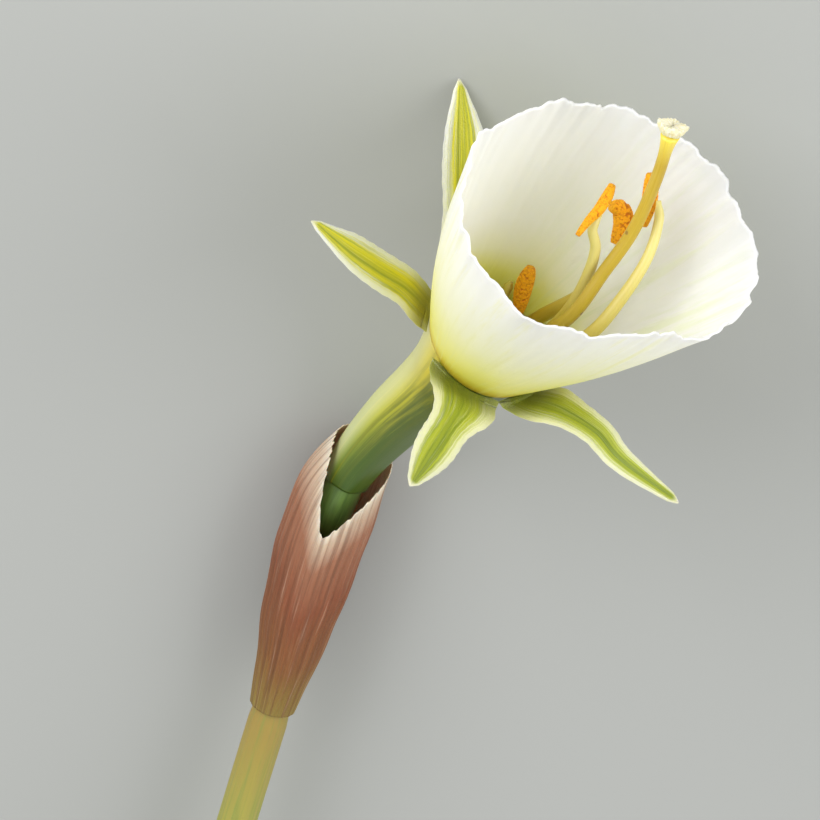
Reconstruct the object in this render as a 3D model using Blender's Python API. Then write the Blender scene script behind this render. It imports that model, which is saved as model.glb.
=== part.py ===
"""A hoop-petticoat narcissus flower, picked with a length of its stem and laid down.

Every piece is drawn in the flower's own frame, in millimetres: the origin is the centre of the throat
ring, where the tube, the tepals and the corona meet, and +Z is the way the corona opens. An empty then
turns the whole flower over onto the surface it lies on.
"""

import math

import bpy
import numpy as np

MM = 0.001
GAP = 0.3  # clearance between two pieces that touch on the real flower

# --- How the flower lies -------------------------------------------------------------------------
LIE_DOWN = (-66.2, -19.83, -23.0)  # degrees about X, Y, Z
LIE_AT = (-0.27, 35.52, 12.26)  # where the throat ring comes to lie

# --- Corona (the trumpet) ------------------------------------------------------------------------
RING_RADIUS = 4.9
WALL = 0.5
CORONA_BELLY = 0.7  # how far the wall bows out of a straight cone, halfway up
# Angle in degrees, radius and height of the rim there.
RIM = (
    (-160, 11.5, 19.5),
    (-120, 12.3, 19.0),
    (-90, 12.0, 19.0),
    (-60, 10.7, 20.1),
    (-35, 9.8, 20.4),
    (-10, 10.9, 19.6),
    (20, 12.4, 20.0),
    (50, 12.0, 20.0),
    (90, 11.4, 19.6),
    (125, 10.7, 19.1),
    (165, 10.3, 19.2),
)
CORONA_AROUND = 84
CORONA_ROWS = 9

# --- Stalk line: tube, ovary, pedicel and scape follow one curve ----------------------------------
STALK_LINE = (
    (0.0, 0.0, 0.0),
    (0.0, 0.0, -3.0),
    (-0.3, 0.7, -8.5),
    (-0.7, 0.9, -16.0),
    (-0.1, -0.5, -23.5),
    (2.9, -3.0, -31.0),
    (7.4, -6.2, -40.0),
    (12.0, -9.6, -49.5),
    (16.5, -12.8, -59.0),
    (21.0, -15.5, -70.0),
    (24.5, -17.0, -82.0),
    (27.0, -17.5, -94.0),
)
TUBE_LENGTH = 24.0
# Distance behind the ring, outer radius.
TUBE_PROFILE = ((0.2, 4.9), (2.5, 4.3), (6.0, 3.5), (11.0, 2.9), (17.0, 2.5), (24.0, 2.0))
TUBE_WALL = 0.6
OVARY_LENGTH = 6.5
OVARY_RADIUS = 1.75
PEDICEL_RADIUS = 0.8
SCAPE_RADIUS = 1.7
SCAPE_TOP = 46.0  # distance behind the ring where the pedicel swells into the scape
SCAPE_END = 99.0

# --- Spathe (the papery sheath) -------------------------------------------------------------------
SPATHE_BASE = 47.0
SPATHE_TOP = 20.5
SPATHE_WALL = 0.45
# Distance behind the ring, outer radius.
SPATHE_PROFILE = ((20.5, 3.3), (26.0, 3.7), (33.0, 3.6), (39.0, 3.1), (44.0, 2.6), (47.0, 2.45))
SPATHE_SLIT_AT = 75.0  # degrees about the stalk line
SPATHE_SLIT_DEPTH = 7.5
SPATHE_SLIT_WIDTHS = (50.0, 30.0)  # degrees before and after its lowest point

# --- Tepals ---------------------------------------------------------------------------------------
TEPAL_THICKNESS = 0.5
FOOT = ((5.15, -1.7), (5.35, -0.8), (5.8, 0.1))  # radius and height of every tepal's foot
# For each one: its half widths, its twist in degrees, the azimuth of its foot, and the rest of its midline
# as (azimuth, radius, height) out to the tip.
TEPALS = (
    ((2.6, 3.0, 2.0, 1.5, 0.35), 0, -71, ((-73, 7.6, 0.9), (-76, 11.2, 2.0), (-78, 15.5, 3.3), (-79, 19.2, 4.5))),
    ((2.1, 2.5, 1.7, 1.0, 0.35), 20, -13, ((-10, 8.0, 2.2), (-11, 11.0, 4.2), (-13, 14.0, 5.2), (-8, 19.1, 5.9))),
    ((1.8, 2.0, 1.8, 1.8, 0.3), 0, 50, ((52, 8.6, 0.6), (57, 12.0, 0.6), (62, 15.4, 0.5), (66, 18.6, 0.2))),
    ((1.7, 1.9, 1.8, 1.8, 0.3), 0, 101, ((102, 8.6, 2.0), (104, 11.4, 4.2), (105, 14.2, 6.6), (106, 16.8, 8.8))),
    ((1.7, 1.9, 1.8, 1.9, 0.3), 0, 153, ((149, 8.4, 1.4), (147, 11.6, 3.4), (146, 15.0, 5.2), (146, 19.2, 7.0))),
    ((1.8, 2.0, 1.85, 1.7, 0.3), 0, -158, ((-155, 8.2, 1.6), (-150, 11.2, 3.3), (-148, 14.3, 4.9), (-149, 18.1, 6.3))),
)
TEPAL_AROUND = 14
TEPAL_ROWS = 16

# --- Stamens and style ----------------------------------------------------------------------------
FILAMENT_RADII = (0.5, 0.55, 0.36)  # at the foot, in the throat and at the tip
FILAMENT_SEAT = 9.0  # how far down the tube the filaments grow from its wall
# For each one: its azimuth on the tube wall and the points that it passes on the way to its anther.
FILAMENTS = (
    (-30, ((2.6, -1.5, -2.0), (4.2, -1.9, 5.0), (5.1, -1.1, 10.5), (4.8, 1.3, 13.3), (4.0, 3.8, 15.6), (2.7, 5.7, 17.1))),
    (30, ((2.2, 1.0, -2.0), (2.8, 0.8, 4.0), (2.7, 1.0, 8.4), (1.9, 1.8, 11.4), (0.8, 2.2, 13.9), (-0.4, 2.2, 15.2))),
    (90, ((0.8, 2.6, -2.0), (1.6, 3.1, 3.0), (2.6, 3.9, 8.2), (2.0, 6.0, 12.2))),
    (150, ((-1.5, 2.2, -3.0), (-1.5, 2.5, 1.5))),
    (210, ((-2.1, -0.8, -3.0), (-2.5, -1.4, 1.5))),
    (270, ((0.2, -2.0, -3.0), (0.4, -2.8, 1.5))),
)
# For each one: the anther's midline from end to end, and its greatest radius.
ANTHERS = (
    (((-0.3, 7.2, 18.6), (0.9, 6.7, 17.3), (2.1, 5.6, 15.7)), 0.6),
    (((-1.7, 4.6, 17.5), (-1.1, 2.6, 16.8), (-0.9, 0.4, 15.5)), 0.45),
    (((-1.0, 5.6, 15.2), (0.8, 6.3, 14.8), (1.7, 4.5, 13.1)), 0.8),
    (((-1.6, 3.6, 5.6), (-0.9, 3.1, 3.9), (0.2, 2.3, 2.4)), 0.7),
    (((-3.4, -1.6, 6.2), (-2.9, -1.9, 4.0), (-2.0, -2.4, 2.2)), 0.7),
    (((1.4, -3.0, 6.4), (0.7, -3.5, 4.2), (-0.4, -3.5, 2.4)), 0.7),
)
STYLE_RADIUS = 0.66
STYLE_LINE = ((0.6, 0.1, -4.0), (2.2, -0.7, 3.0), (3.1, -0.6, 9.5), (2.5, 1.8, 13.2), (1.8, 3.8, 16.5),
              (0.3, 5.2, 20.7), (-1.3, 5.8, 24.4))
STIGMA_RADIUS = 1.15
STIGMA_THICKNESS = 1.0


# --- Curves and grids -----------------------------------------------------------------------------
def smooth(points, at):
    """A cubic through the points, with the slope at each taken from its two neighbours; at runs from 0 to 1."""
    points = np.asarray(points, float)
    slope = np.gradient(points, axis=0)
    place = np.clip(np.asarray(at, float), 0, 1) * (len(points) - 1)
    k = np.minimum(place.astype(int), len(points) - 2)
    x = (place - k).reshape(place.shape + (1,) * (points.ndim - 1))
    rise = points[k + 1] - points[k]
    return (points[k] + x * slope[k] + x**2 * (3 * rise - 2 * slope[k] - slope[k + 1])
            + x**3 * (slope[k] + slope[k + 1] - 2 * rise))


def smooth_round(table, angle):
    """The same cubic round a full turn: table rows are (degrees, value...), and angle is in radians."""
    table = np.asarray(table, float)
    degrees = np.concatenate([table[-2:, 0] - 360, table[:, 0], table[:2, 0] + 360])
    values = np.concatenate([table[-2:, 1:], table[:, 1:], table[:2, 1:]])
    slope = np.gradient(values, degrees, axis=0)
    turn = (np.degrees(angle) - table[0, 0]) % 360 + table[0, 0]
    k = np.searchsorted(degrees, turn, side="right") - 1
    h = (degrees[k + 1] - degrees[k])[..., None]
    x = (turn - degrees[k])[..., None] / h
    rise = values[k + 1] - values[k]
    return (values[k] + x * h * slope[k] + x**2 * (3 * rise - h * (2 * slope[k] + slope[k + 1]))
            + x**3 * (h * (slope[k] + slope[k + 1]) - 2 * rise))


def even(points, count, start=0.0, end=None):
    """count points evenly spaced along the curve through points, from start to end millimetres along it."""
    fine = smooth(points, np.linspace(0, 1, 600))
    along = np.concatenate([[0], np.cumsum(np.linalg.norm(np.diff(fine, axis=0), axis=1))])
    stops = np.linspace(start, along[-1] if end is None else end, count)
    return np.stack([np.interp(stops, along, fine[:, axis]) for axis in range(3)], axis=1)


def frames(path):
    """Unit side and normal vectors along a path that turn as little as they can."""
    tangent = np.gradient(path, axis=0)
    tangent /= np.linalg.norm(tangent, axis=1)[:, None]
    side = np.empty_like(path)
    hint = np.array([1.0, 0.0, 0.0])
    for row, direction in enumerate(tangent):
        hint = hint - direction * (hint @ direction)
        hint /= np.linalg.norm(hint)
        side[row] = hint
    return side, np.cross(tangent, side)


def rings_along(path, radius, around):
    """Circles of the given radius about each point of the path: an array of rows, around, 3."""
    side, normal = frames(path)
    angle = np.linspace(0, 2 * np.pi, around, endpoint=False)
    radius = np.broadcast_to(radius, (len(path), around))[..., None]
    across = np.cos(angle)[None, :, None] * side[:, None] + np.sin(angle)[None, :, None] * normal[:, None]
    return path[:, None] + radius * across


def quads_between(rows, around, offset=0):
    """The faces of a grid whose rows close on themselves."""
    row, column = np.meshgrid(np.arange(rows - 1), np.arange(around), indexing="ij")
    here = row * around + column
    beside = row * around + (column + 1) % around
    return (np.stack([here, beside, beside + around, here + around], axis=-1).reshape(-1, 4) + offset).tolist()


def solid_of(rings):
    """A closed body: the rings joined in turn, with a point at the middle of each end."""
    rows, around, _ = rings.shape
    points = np.concatenate([rings.reshape(-1, 3), [rings[0].mean(axis=0), rings[-1].mean(axis=0)]])
    faces = quads_between(rows, around)
    last = (rows - 1) * around
    for column in range(around):
        beside = (column + 1) % around
        faces.append([rows * around, beside, column])
        faces.append([rows * around + 1, last + column, last + beside])
    return points, faces


def shell_of(outer, inner):
    """A closed wall: outer and inner are grids of rings of the same shape, joined along both ends."""
    rows, around, _ = outer.shape
    points = np.concatenate([outer.reshape(-1, 3), inner.reshape(-1, 3)])
    faces = quads_between(rows, around)
    faces += [face[::-1] for face in quads_between(rows, around, rows * around)]
    last = (rows - 1) * around
    for column in range(around):
        beside = (column + 1) % around
        faces.append([beside, column, rows * around + column, rows * around + beside])
        faces.append([last + column, last + beside, rows * around + last + beside, rows * around + last + column])
    return points, faces


# --- Materials and objects ------------------------------------------------------------------------
def material(name, colour, roughness):
    made = bpy.data.materials.new(name)
    made.use_nodes = True
    shader = made.node_tree.nodes["Principled BSDF"]
    shader.inputs["Base Color"].default_value = (*colour, 1.0)
    shader.inputs["Roughness"].default_value = roughness
    shader.inputs["Metallic"].default_value = 0.0
    return made


def add(name, shape, finish, flower):
    """A named object from (points in millimetres, faces), with its faces turned outwards."""
    points, faces = shape
    mesh = bpy.data.meshes.new(name)
    mesh.from_pydata((points * MM).tolist(), [], faces)
    corners = np.array([[face[0], face[k], face[k + 1]] for face in faces for k in range(1, len(face) - 1)])
    if np.einsum("ij,ij->i", points[corners[:, 0]], np.cross(points[corners[:, 1]], points[corners[:, 2]])).sum() < 0:
        mesh.flip_normals()
    mesh.shade_smooth()
    mesh.set_sharp_from_angle(angle=math.radians(50))
    mesh.materials.append(finish)
    piece = bpy.data.objects.new(name, mesh)
    piece.parent = flower
    bpy.context.scene.collection.objects.link(piece)
    return piece


# --- The pieces -----------------------------------------------------------------------------------
def corona():
    """A thin trumpet: radius and height run from the throat ring to a rim that waves with the angle."""
    angle = np.linspace(0, 2 * np.pi, CORONA_AROUND, endpoint=False)
    rise = np.linspace(0, 1, CORONA_ROWS)[:, None]
    radius, height = smooth_round(RIM, angle).T

    def face(inset):
        r = RING_RADIUS + (radius - RING_RADIUS) * rise + CORONA_BELLY * np.sin(np.pi * rise) - inset
        z = GAP / 2 + (height - GAP / 2) * rise
        return np.stack([r * np.cos(angle), r * np.sin(angle), z + 0 * r], axis=-1)

    return shell_of(face(0.0), face(WALL))


def perianth_tube():
    """The tube behind the ring, wide at the throat and narrow at the ovary."""
    path = even(STALK_LINE, 15, GAP / 2, TUBE_LENGTH)
    behind = np.linspace(GAP / 2, TUBE_LENGTH, 15)
    radius = np.interp(behind, *zip(*TUBE_PROFILE))[:, None]
    return shell_of(rings_along(path, radius, 32), rings_along(path, radius - TUBE_WALL, 32))


def ovary():
    """A smooth oblong capsule between the tube and the pedicel."""
    turn = np.linspace(0.12, 0.9, 13) * np.pi
    start = TUBE_LENGTH + GAP
    path = even(STALK_LINE, 13, start, start + OVARY_LENGTH)
    return solid_of(rings_along(path, OVARY_RADIUS * np.sin(turn)[:, None] ** 0.6, 20))


def scape():
    """The flower stem: a thin pedicel inside the spathe that swells into the round scape, cut off square."""
    start = TUBE_LENGTH + OVARY_LENGTH + 2 * GAP
    path = even(STALK_LINE, 40, start, SCAPE_END)
    behind = np.linspace(start, SCAPE_END, 40)
    swell = np.clip((behind - SCAPE_TOP + 3.0) / 6.0, 0, 1)
    swell = swell * swell * (3 - 2 * swell)
    radius = PEDICEL_RADIUS + (SCAPE_RADIUS - PEDICEL_RADIUS) * swell
    return solid_of(rings_along(path, radius[:, None], 18))


def spathe():
    """A thin sheath round the ovary, closed at the scape, with a slit that opens one side of its mouth."""
    around, rows = 36, 14
    angle = np.linspace(0, 360, around, endpoint=False)
    off = (angle - SPATHE_SLIT_AT + 180) % 360 - 180
    reach = np.abs(off) / np.where(off < 0, *SPATHE_SLIT_WIDTHS)
    top = SPATHE_TOP + SPATHE_SLIT_DEPTH * np.exp(-(reach**1.4))
    behind = SPATHE_BASE + (top - SPATHE_BASE) * np.linspace(0, 1, rows)[:, None]
    outer_radius = np.interp(behind, *zip(*SPATHE_PROFILE))
    steps = 200
    line = even(STALK_LINE, steps, 0.0, SPATHE_BASE + 1.0)
    side, normal = frames(line)
    place = behind / (SPATHE_BASE + 1.0) * (steps - 1)

    def face(radius):
        turn = np.radians(angle)[None, :, None]
        pick = [np.stack([np.interp(place, np.arange(steps), field[:, axis]) for axis in range(3)], axis=-1)
                for field in (line, side, normal)]
        return pick[0] + radius[..., None] * (np.cos(turn) * pick[1] + np.sin(turn) * pick[2])

    return shell_of(face(outer_radius), face(outer_radius - SPATHE_WALL))


def tepal(widths, twist, azimuth, blade):
    """A narrow petal: flat lens-shaped rings across its midline, wrapped round the ring at the foot."""
    stops = np.array([(azimuth, radius, height) for radius, height in FOOT] + list(blade))
    turn = np.radians(stops[:, 0])
    path = even(np.stack([stops[:, 1] * np.cos(turn), stops[:, 1] * np.sin(turn), stops[:, 2]], axis=1), TEPAL_ROWS)
    along = np.linspace(0, 1, TEPAL_ROWS)
    half_width = np.interp(along, (0.0, 0.13, 0.3, 0.7, 1.0), widths)
    half_width[1:-1] = (half_width[:-2] + 2 * half_width[1:-1] + half_width[2:]) / 4
    tangent = np.gradient(path, axis=0)
    tangent /= np.linalg.norm(tangent, axis=1)[:, None]
    out = path * (1, 1, 0)
    out /= np.linalg.norm(out, axis=1)[:, None]
    side = np.cross((0, 0, 1), out)
    side -= tangent * (side * tangent).sum(axis=1)[:, None]
    side /= np.linalg.norm(side, axis=1)[:, None]
    normal = np.cross(tangent, side)
    roll = np.radians(twist * np.clip(along / 0.6, 0, 1))[:, None]
    side, normal = side * np.cos(roll) + normal * np.sin(roll), normal * np.cos(roll) - side * np.sin(roll)
    turn = np.linspace(0, 2 * np.pi, TEPAL_AROUND, endpoint=False)
    across = half_width[:, None] * np.cos(turn)
    thick = np.minimum(TEPAL_THICKNESS, half_width)[:, None] / 2 * np.sin(turn)
    wrap = np.clip(1 - along / 0.4, 0, 1)[:, None]
    inward = wrap * across**2 / (2 * np.hypot(path[:, 0], path[:, 1])[:, None])
    return solid_of(path[:, None] + side[:, None] * across[..., None] + normal[:, None] * thick[..., None]
                    - out[:, None] * inward[..., None])


def filament(azimuth, points, anther_line, anther_radius):
    """A tapering thread from the tube's inner wall to the middle of its anther."""
    seat = even(STALK_LINE, 2, FILAMENT_SEAT, FILAMENT_SEAT + 1)[0]
    wall = np.interp(FILAMENT_SEAT, *zip(*TUBE_PROFILE)) - TUBE_WALL - GAP - FILAMENT_RADII[0]
    turn = math.radians(azimuth)
    start = seat + wall * np.array([math.cos(turn), math.sin(turn), 0.0])
    lengthwise = np.subtract(anther_line[2], anther_line[0])
    lengthwise /= np.linalg.norm(lengthwise)
    outward = np.subtract(points[-1], anther_line[1])
    outward -= lengthwise * (outward @ lengthwise)
    outward *= (anther_radius + GAP + FILAMENT_RADII[2]) / np.linalg.norm(outward)
    path = even([start, *points, anther_line[1] + outward], 22)
    return solid_of(rings_along(path, smooth(FILAMENT_RADII, np.linspace(0, 1, 22))[:, None], 10))


def anther(line, radius):
    """A sausage of pollen, widest at its middle."""
    turn = np.linspace(0.1, 0.9, 12) * np.pi
    return solid_of(rings_along(even(line, 12), radius * np.sin(turn)[:, None] ** 0.5, 12))


def style():
    """The long thread from the top of the ovary, through the tube and out past the corona's far rim."""
    low = even(STALK_LINE, 4, TUBE_LENGTH - 1.0, 8.0)
    path = even([*low, *STYLE_LINE], 34)
    radius = smooth((0.5, 0.6, STYLE_RADIUS, STYLE_RADIUS, STYLE_RADIUS + 0.1), np.linspace(0, 1, 34))
    return solid_of(rings_along(path, radius[:, None], 14))


def stigma():
    """A flared, three-lobed cap on the end of the style."""
    end, before = np.array(STYLE_LINE[-1]), np.array(STYLE_LINE[-2])
    way = (end - before) / np.linalg.norm(end - before)
    path = end + way * (GAP + np.linspace(0, STIGMA_THICKNESS, 6)[:, None])
    turn = np.linspace(0, 2 * np.pi, 24, endpoint=False)
    flare = np.array([0.7, 0.88, 1.0, 1.0, 0.85, 0.6])[:, None]
    return solid_of(rings_along(path, STIGMA_RADIUS * flare * (1 + 0.12 * np.cos(3 * turn)), 24))


def build():
    for leftover in list(bpy.data.objects):
        bpy.data.objects.remove(leftover)
    flower = bpy.data.objects.new("flower_lying", None)
    bpy.context.scene.collection.objects.link(flower)
    flower.rotation_euler = [math.radians(turn) for turn in LIE_DOWN]
    flower.location = [MM * place for place in LIE_AT]

    ivory = material("corona_ivory", (0.86, 0.85, 0.66), 0.45)
    green_white = material("tepal_green_white", (0.62, 0.68, 0.30), 0.5)
    tube_green = material("tube_yellow_green", (0.45, 0.47, 0.07), 0.45)
    ovary_green = material("ovary_green", (0.16, 0.30, 0.06), 0.45)
    stem_green = material("scape_olive", (0.26, 0.32, 0.08), 0.45)
    papery = material("spathe_papery_brown", (0.45, 0.28, 0.20), 0.7)
    mustard = material("style_mustard", (0.72, 0.52, 0.06), 0.45)
    pollen = material("anther_pollen_orange", (0.90, 0.38, 0.01), 0.85)
    cream = material("stigma_cream", (0.85, 0.78, 0.50), 0.6)

    add("corona", corona(), ivory, flower)
    add("perianth_tube", perianth_tube(), tube_green, flower)
    add("ovary", ovary(), ovary_green, flower)
    add("spathe", spathe(), papery, flower)
    add("scape", scape(), stem_green, flower)
    for number, shape in enumerate(TEPALS, 1):
        add(f"tepal_{number}", tepal(*shape), green_white, flower)
    for number, ((azimuth, points), (line, radius)) in enumerate(zip(FILAMENTS, ANTHERS), 1):
        add(f"filament_{number}", filament(azimuth, points, line, radius), mustard, flower)
        add(f"anther_{number}", anther(line, radius), pollen, flower)
    add("style", style(), mustard, flower)
    add("stigma", stigma(), cream, flower)


build()
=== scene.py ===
# %% [markdown]
# # A hoop-petticoat narcissus, picked and laid on a table
#
# This lesson builds the looks of one small flower: an ivory funnel-shaped corona, six narrow tepals, a
# yellow-green tube in a papery spathe, orange anthers, and a cut stem. The construction is loaded first
# as a fixed frame, and every piece made here stands in for one of its nodes, in the same place.

# %% Load the frame
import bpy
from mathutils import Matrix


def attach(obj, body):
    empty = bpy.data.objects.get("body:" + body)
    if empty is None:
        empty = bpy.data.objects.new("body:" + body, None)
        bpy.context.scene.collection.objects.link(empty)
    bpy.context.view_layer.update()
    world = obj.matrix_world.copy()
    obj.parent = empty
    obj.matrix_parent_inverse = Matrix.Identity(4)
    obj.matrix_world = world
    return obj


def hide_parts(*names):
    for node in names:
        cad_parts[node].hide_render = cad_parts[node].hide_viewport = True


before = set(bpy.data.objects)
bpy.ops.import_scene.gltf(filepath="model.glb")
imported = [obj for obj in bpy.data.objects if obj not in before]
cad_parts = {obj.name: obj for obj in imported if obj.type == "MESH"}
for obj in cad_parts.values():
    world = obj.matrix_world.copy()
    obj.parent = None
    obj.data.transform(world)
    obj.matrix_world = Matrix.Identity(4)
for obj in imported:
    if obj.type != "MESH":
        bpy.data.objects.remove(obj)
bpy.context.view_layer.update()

import math

import bpy
import numpy as np
from mathutils import Euler, Matrix, Vector

MM = 0.001

# %% [markdown]
# ## One frame for the flower, and a turn that lays it down
#
# A flower is easiest to draw on its own axis: the origin is the middle of the throat ring, and +Z is the way
# the corona opens. Every surface is a function in that frame, in millimetres. Turning finished objects
# would turn their patterns too, so the points are turned.

# %% The flower's frame on the table
LIE_DOWN = (-66.2, -19.83, -23.0)  # degrees about X, Y, Z
LIE_AT = (-0.27, 35.52, 12.26)  # where the throat ring lies, in mm
turn_down = np.array(Euler([math.radians(angle) for angle in LIE_DOWN]).to_matrix())


def on_table(points):
    """Points in the flower's frame in mm, turned and shifted to where they lie, in metres."""
    return (points.reshape(-1, 3) @ turn_down.T + LIE_AT) * MM


print("corona opens towards", np.round(turn_down[:, 2], 2))

# %% [markdown]
# ## From numbers to a named piece
#
# Each piece could be sculpted. Here it is worked out as numbers, so that one number changes one feature: a
# list of points, a list of faces, and values over the points, which the finish reads as attributes.


# %% The piece helper
def add_object(name, data):
    """A new object in the scene's own collection."""
    made = bpy.data.objects.new(name, data)
    bpy.context.scene.collection.objects.link(made)
    return made


def piece(name, shape, finish):
    """A mesh object from (points, faces, attributes), which rides on the one body and stands for its node.
    A shape that came out inside out is turned, which the sign of its volume shows."""
    points, faces, values = shape
    mesh = bpy.data.meshes.new(name)
    mesh.from_pydata(on_table(points).tolist(), [], faces)
    for key, value in values.items():
        value = np.asarray(value, np.float32)
        kind, field = ("FLOAT_VECTOR", "vector") if value.ndim == 2 else ("FLOAT", "value")
        mesh.attributes.new(key, kind, "POINT").data.foreach_set(field, value.ravel())
    mesh.calc_loop_triangles()
    corners = np.empty(len(mesh.loop_triangles) * 3, np.int32)
    mesh.loop_triangles.foreach_get("vertices", corners)
    a, b, c = points[corners.reshape(-1, 3)].transpose(1, 0, 2)
    volume = np.einsum("ij,ij->i", a, np.cross(b, c)).sum() / 6
    if volume < 0:
        mesh.flip_normals()
    mesh.shade_smooth()
    mesh.materials.append(finish)
    made = add_object(name, mesh)
    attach(made, "root")
    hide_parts(name.removesuffix("_skin"))
    print(f"{name}: {len(mesh.loop_triangles)} triangles, {abs(volume):.1f} mm3")


print("each piece rides on root and stands for the node that its name starts with")

# %% [markdown]
# ## Closed grids
#
# A grid of rings covers both kinds of tissue: a thin wall is two grids joined at both ends, and a thread or
# blade is one with a point at each end. Solidify makes a wall too, but not one that thins to the rim.


# %% Faces, walls and bodies
def quads(rows, around, wrap=0):
    """The faces of a grid of rings, as corner numbers; wrap=1 joins the last ring to the first too."""
    row, column = np.meshgrid(np.arange(rows - 1 + wrap), np.arange(around), indexing="ij")
    here, after = row * around, (row + 1) % rows * around
    beside = (column + 1) % around
    corners = [here + column, here + beside, after + beside, after + column]
    return np.stack(corners, axis=-1).reshape(-1, 4).tolist()


def over_grid(grid, like):
    """The grid with one value or vector for each point of like; it may hold one for each row or angle."""
    return np.broadcast_to(grid, like.shape[:2] + np.shape(grid)[2:])


def listed(grid, *more):
    """The grid's points in one list, and then any more."""
    return np.concatenate([grid.reshape(-1, *grid.shape[2:]), *more])


def shell_of(outer, inner, **skin):
    """A closed wall: the outer rings, the inner rings backwards, and round to the first. The attribute
    inside is 0 outside and 1 inside. skin holds values over the grid, which become attributes too."""
    rows, around, _ = outer.shape
    values = {"inside": np.repeat([0.0, 1.0], rows * around)}
    for name, grid in skin.items():
        grid = over_grid(grid, outer)
        values[name] = listed(grid, listed(grid[::-1]))
    return listed(outer, listed(inner[::-1])), quads(2 * rows, around, 1), values


def solid_of(rings, **skin):
    """A closed body: rings joined in turn, with one point at the middle of each end, and the same skin."""
    rows, around, _ = rings.shape
    column = np.arange(around)
    beside = (column + 1) % around
    middle = np.full(around, rows * around)
    last = (rows - 1) * around
    start = np.stack([middle, beside, column], axis=1).tolist()
    end = np.stack([middle + 1, last + column, last + beside], axis=1).tolist()
    grids = {name: over_grid(grid, rings) for name, grid in skin.items()}
    grids["point"] = rings
    values = {name: listed(grid, grid[[0, -1]].mean(axis=1)) for name, grid in grids.items()}
    return values.pop("point"), quads(rows, around) + start + end, values


def full_turn(around):
    """Angles in radians, evenly round a full turn."""
    return np.linspace(0, 2 * np.pi, around, endpoint=False)


def round_grain(angle, along, across_scale, along_scale):
    """A place for patterns on a tube that has no seam: (a cos, a sin, b along)."""
    angle, along = np.broadcast_arrays(angle, along)
    return np.stack([across_scale * np.cos(angle), across_scale * np.sin(angle), along_scale * along],
                    axis=-1)


print("a grid of 3 rings of 8 points has", len(quads(3, 8)), "faces")

# %% [markdown]
# ## Node trees
#
# A material is a tree of nodes. Two helpers keep the trees readable: one adds a node with its settings and
# links, and the other starts a shader node group.


# %% Helpers for node trees
def add_node(tree, kind, values=None, **settings):
    """A node of that kind with its settings. Each input in values gets a number, or a link if what is
    given is another node's output."""
    made = tree.nodes.new(kind)
    for key, value in settings.items():
        setattr(made, key, value)
    for key, value in (values or {}).items():
        if isinstance(value, bpy.types.NodeSocket):
            tree.links.new(value, made.inputs[key])
        else:
            made.inputs[key].default_value = value
    return made


def new_group(name, inputs, output):
    """A node group with float or vector inputs (name: default) and one output: its tree, the sockets that
    its inputs arrive at, and the socket that its output leaves by."""
    tree = bpy.data.node_groups.new(name, "ShaderNodeTree")
    for key, value in inputs.items():
        kind = "NodeSocketVector" if isinstance(value, tuple) else "NodeSocketFloat"
        tree.interface.new_socket(key, in_out="INPUT", socket_type=kind).default_value = value
    tree.interface.new_socket(output, in_out="OUTPUT", socket_type="NodeSocketFloat")
    return tree, tree.nodes.new("NodeGroupInput").outputs, tree.nodes.new("NodeGroupOutput").inputs[output]


print("node helpers: add_node, new_group")

# %% [markdown]
# ## Two effects that every tissue shares
#
# Petals and stems are made of long cells, which give fine streaks of colour and a fine grain. Both could be
# painted, but noise on the piece's own grain attribute has no seam. Each is a node group, built once.


# %% The streak group
def make_streaks():
    """Mask = noise on a grain that is stretched along the piece, pushed between Low and High."""
    inputs = {"Grain": (0.0, 0.0, 0.0), "Scale": 1.0, "Low": 0.4, "High": 0.7}
    tree, given, mask = new_group("cell_streaks", inputs, "Mask")
    noise = add_node(tree, "ShaderNodeTexNoise", {
        "Vector": given["Grain"], "Scale": given["Scale"], "Detail": 4.0, "Roughness": 0.6})
    push = add_node(tree, "ShaderNodeMapRange", {
        "Value": noise.outputs["Fac"], "From Min": given["Low"], "From Max": given["High"]},
        interpolation_type="SMOOTHSTEP")
    tree.links.new(push.outputs["Result"], mask)
    return tree


streaks = make_streaks()
print("shared group:", streaks.name)


# %% The skin grain group
def make_grain():
    """Height = noise for the long cells plus Speckle times a pattern of finer cells, which sparkles."""
    inputs = {"Grain": (0.0, 0.0, 0.0), "Scale": 1.0, "Speckle": 0.3}
    tree, given, height = new_group("skin_grain", inputs, "Height")
    cells = add_node(tree, "ShaderNodeTexNoise", {
        "Vector": given["Grain"], "Scale": given["Scale"], "Detail": 3.0, "Roughness": 0.55})
    coords = add_node(tree, "ShaderNodeTexCoord")
    fine_cells = add_node(tree, "ShaderNodeTexVoronoi", {
        "Vector": coords.outputs["Object"], "Scale": 6500.0}, feature="SMOOTH_F1")
    total = add_node(tree, "ShaderNodeMath", {
        0: fine_cells.outputs["Distance"], 1: given["Speckle"], 2: cells.outputs["Fac"]},
        operation="MULTIPLY_ADD")
    tree.links.new(total.outputs["Value"], height)
    return tree


grain = make_grain()
print("shared group:", grain.name)

# %% [markdown]
# ## A recipe for materials
#
# Every material has a colour that changes along an attribute, more colours laid over it through masks, and a
# bump. Fresh tissue lets some light in: a Translucent shader would do that, but the Principled shader's own
# subsurface keeps each material to one shader.


# %% Start a finish
class Finish:
    """A Principled material under construction: its tree, its shader, and how light soaks into it."""

    def __init__(self, name, roughness, soak, soak_rgb, soak_mm, coat=0.0):
        self.material = bpy.data.materials.new(name)
        self.material.use_nodes = True
        self.tree = self.material.node_tree
        self.shader = self.tree.nodes["Principled BSDF"]
        for socket, value in {
                "Roughness": roughness, "Subsurface Weight": soak, "Subsurface Radius": soak_rgb,
                "Subsurface Scale": soak_mm * MM, "Coat Weight": coat, "Coat Roughness": 0.35}.items():
            self.shader.inputs[socket].default_value = value


print("a finish is a Principled material")


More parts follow.
